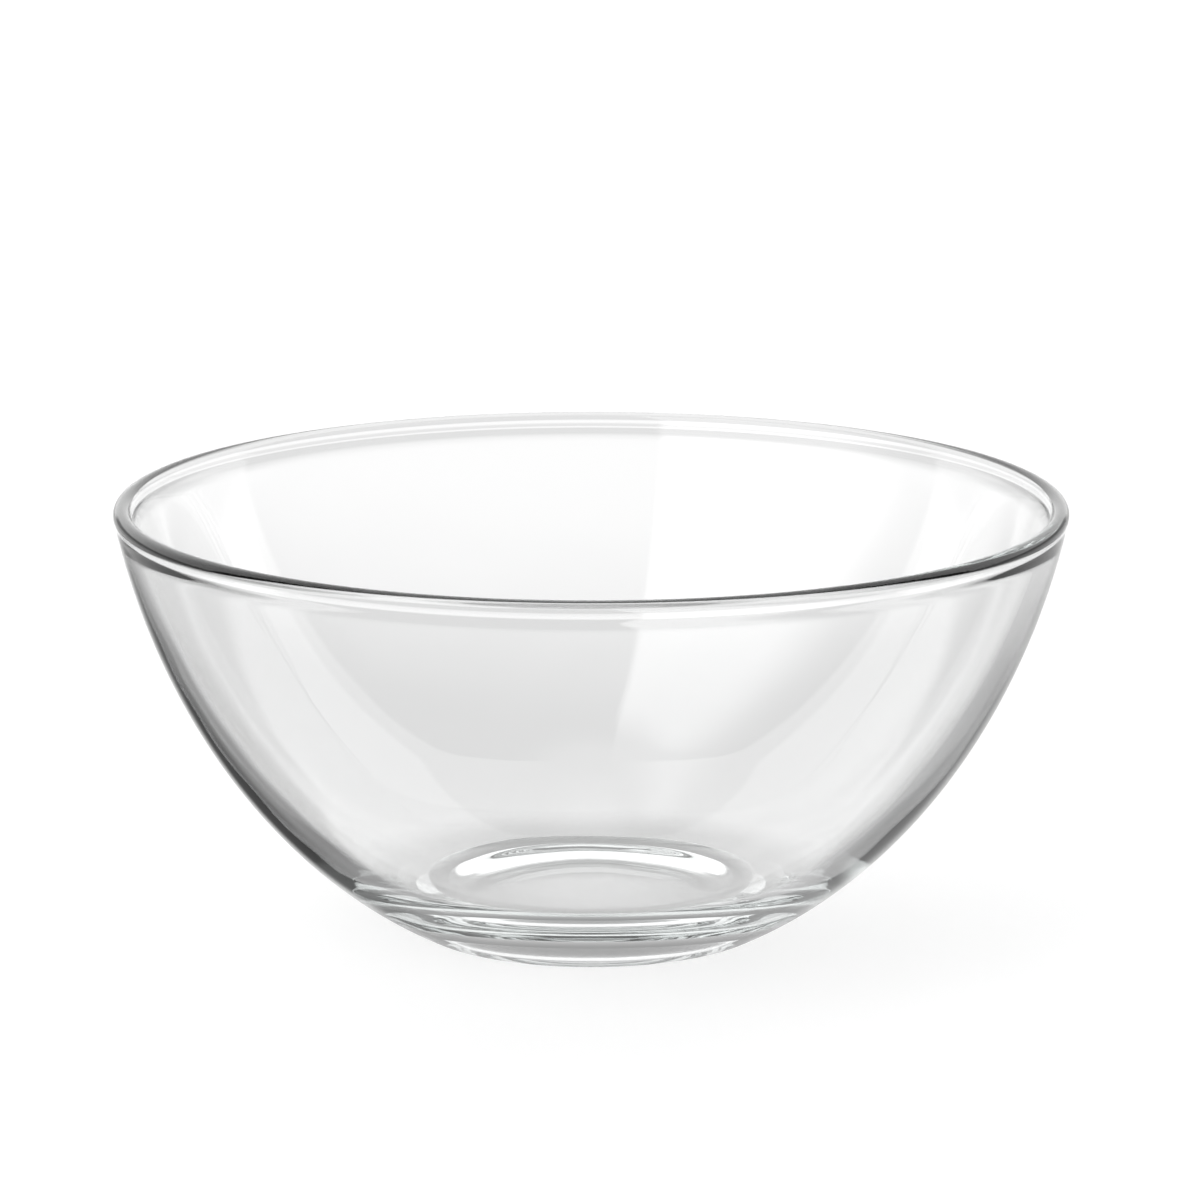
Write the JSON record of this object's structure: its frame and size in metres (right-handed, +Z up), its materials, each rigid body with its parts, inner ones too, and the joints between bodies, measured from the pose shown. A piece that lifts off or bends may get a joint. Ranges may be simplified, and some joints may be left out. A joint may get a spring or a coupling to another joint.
{
  "type": "dessert bowl",
  "caption": "Round bowl of clear pressed glass with a deep curved wall, a rounded lip and a small flat foot, for serving dessert.",
  "frame": {"origin": "centre of the standing ring, on the bowl's axis, at the table it stands on (z = 0)", "axes": "+Z up along the bowl's axis; the picture looks along +Y from above, with +X to its right; the bowl is round, so X and Y have no other meaning"},
  "size_m": [0.14, 0.14, 0.0638],
  "materials": {
    "clear_glass": "fire-polished soda-lime glass, smooth, with a faint green-grey along the edges"
  },
  "bodies": {
    "root": {"glass_bowl": "clear_glass"}
  },
  "joints": []
}
